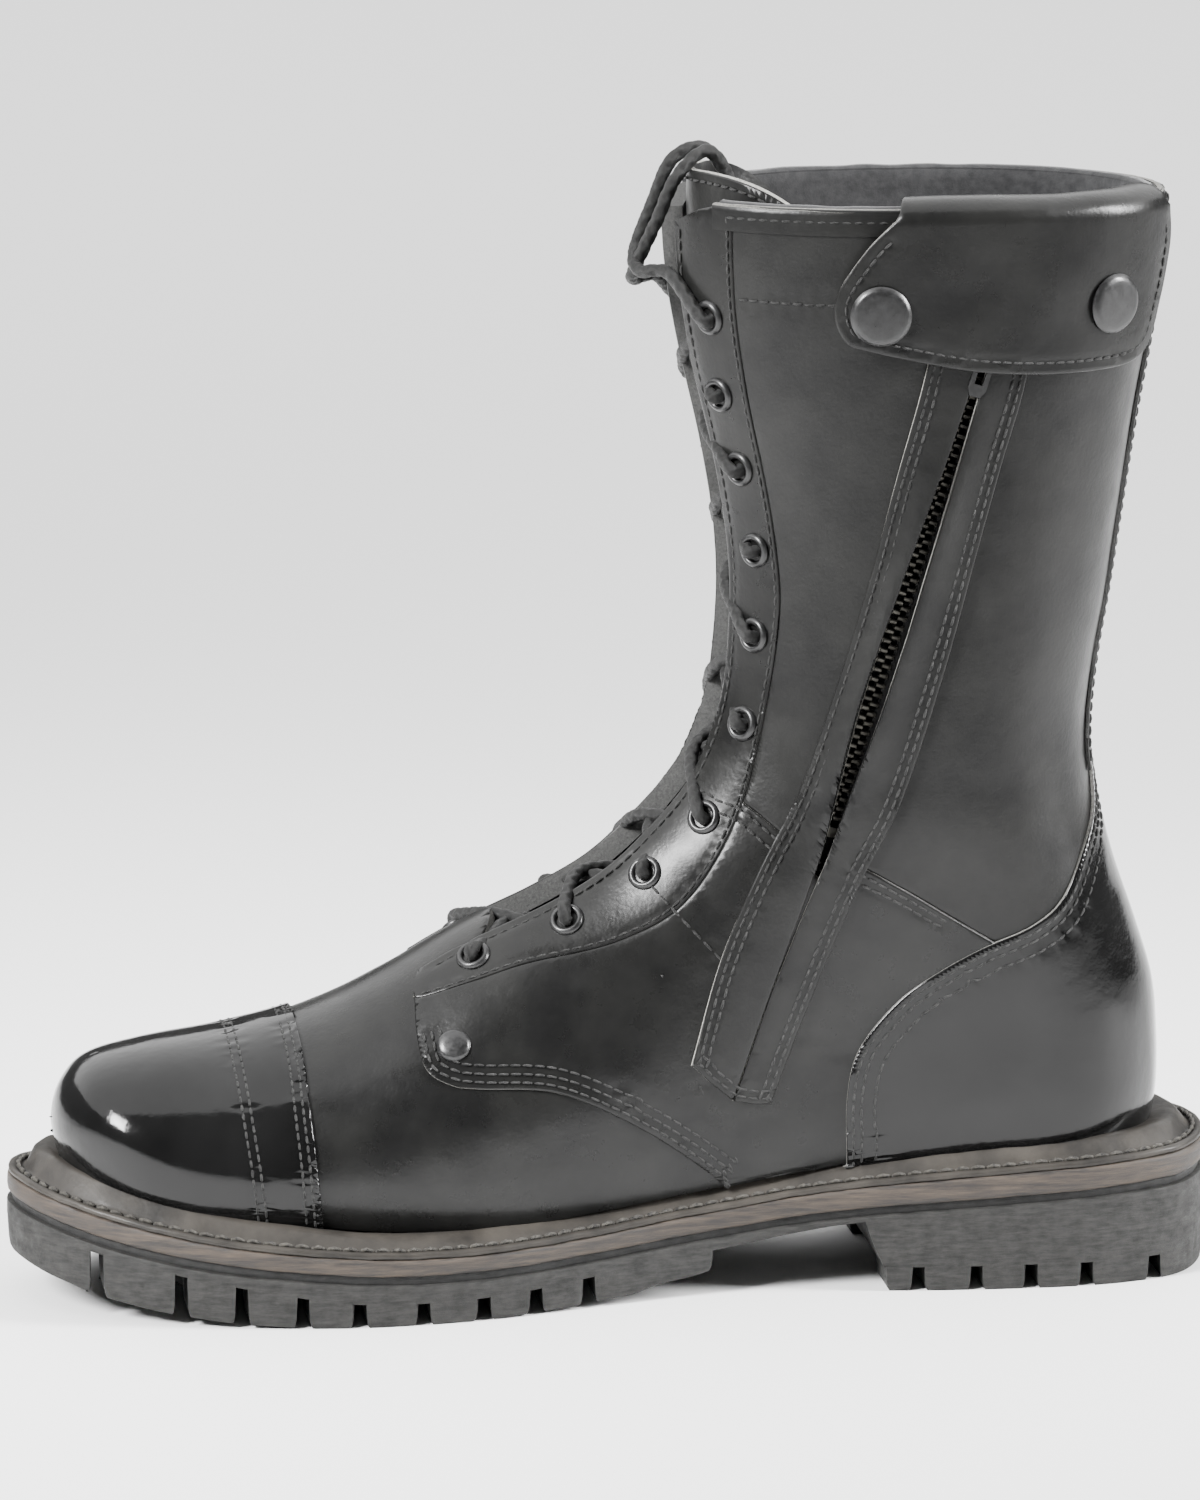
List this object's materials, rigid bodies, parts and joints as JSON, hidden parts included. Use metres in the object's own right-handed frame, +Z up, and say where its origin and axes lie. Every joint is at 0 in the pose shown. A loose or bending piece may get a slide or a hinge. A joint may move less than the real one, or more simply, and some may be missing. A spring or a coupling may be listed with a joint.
{
  "type": "firefighting boot",
  "caption": "Lace-up safety boot with a side zip under a snap flap, a capped toe, a stitched welt and a lugged rubber sole.",
  "frame": {"origin": "middle of the boot's footprint box, on the ground", "axes": "+Z up, toe towards -X, the zip's inner (medial) side towards -Y, outer side towards +Y"},
  "size_m": [0.3131, 0.1111, 0.2937],
  "materials": {
    "sole_rubber": "matt, scuffed",
    "midsole_rubber": "matt",
    "welt_leather": "dull",
    "matte_leather": "satin",
    "gloss_leather": "polished",
    "lining_fabric": "knitted",
    "foam": "felted",
    "stiffener_board": "fibre board",
    "cork": "granulated",
    "shank_steel": "plain",
    "black_metal": "semi-gloss",
    "snap_metal": "gunmetal",
    "zip_metal": "antique",
    "zip_tape": "woven",
    "lace_cord": "braided",
    "aglet_plastic": "smooth"
  },
  "bodies": {
    "root": {"outsole": "sole_rubber", "heel_block": "sole_rubber", "midsole": "midsole_rubber", "welt": "welt_leather", "insole_board": "stiffener_board", "cork_filler": "cork", "shank": "shank_steel", "footbed": "lining_fabric", "vamp": "matte_leather", "vamp_lining": "lining_fabric", "toe_puff": "stiffener_board", "toe_cap": "gloss_leather", "heel_stiffener": "stiffener_board", "interlining": "foam", "collar_padding": "foam", "lining": "lining_fabric", "tongue": "matte_leather", "quarter_medial": "matte_leather", "quarter_lateral": "matte_leather", "shaft_medial_front": "matte_leather", "shaft_medial_rear": "matte_leather", "shaft_lateral": "matte_leather", "facing_medial": "matte_leather", "facing_lateral": "matte_leather", "heel_counter_cover": "gloss_leather", "backstay": "matte_leather", "eyelets_medial": "black_metal", "eyelets_lateral": "black_metal", "rivets": "black_metal", "lace": "lace_cord", "aglets": "aglet_plastic", "zip_guard_front": "matte_leather", "zip_guard_rear": "matte_leather", "zip_gusset": "zip_tape", "zip_tape_front": "zip_tape", "zip_tape_rear": "zip_tape", "zip_teeth_front": "zip_metal", "zip_teeth_rear": "zip_metal", "zip_stops": "zip_metal", "flap_anchor": "matte_leather", "snap_studs": "snap_metal"},
    "flap": {"closure_flap": "matte_leather", "flap_lining": "zip_tape", "snap_caps": "black_metal", "snap_sockets": "snap_metal"},
    "slider": {"zip_slider": "black_metal"},
    "pull": {"zip_pull": "black_metal"}
  },
  "joints": [
    {"name": "flap_lift", "type": "hinge", "parent": "root", "child": "flap", "pos_m": [0.095, -0.0518, 0.2832], "axis": [-0.9848, -0.1736, 0], "range_deg": [0, 150]},
    {"name": "zip_slide", "type": "slide", "parent": "root", "child": "slider", "axis": [-0.2865, 0.078, -0.9549], "range_m": [0, 0.125], "deforming": ["zip_teeth_front", "zip_teeth_rear"]},
    {"name": "pull_swing", "type": "hinge", "parent": "slider", "child": "pull", "pos_m": [0.09308, -0.04528, 0.2547], "axis": [-0.9581, -0.0172, 0.286], "range_deg": [0, 3]}
  ]
}
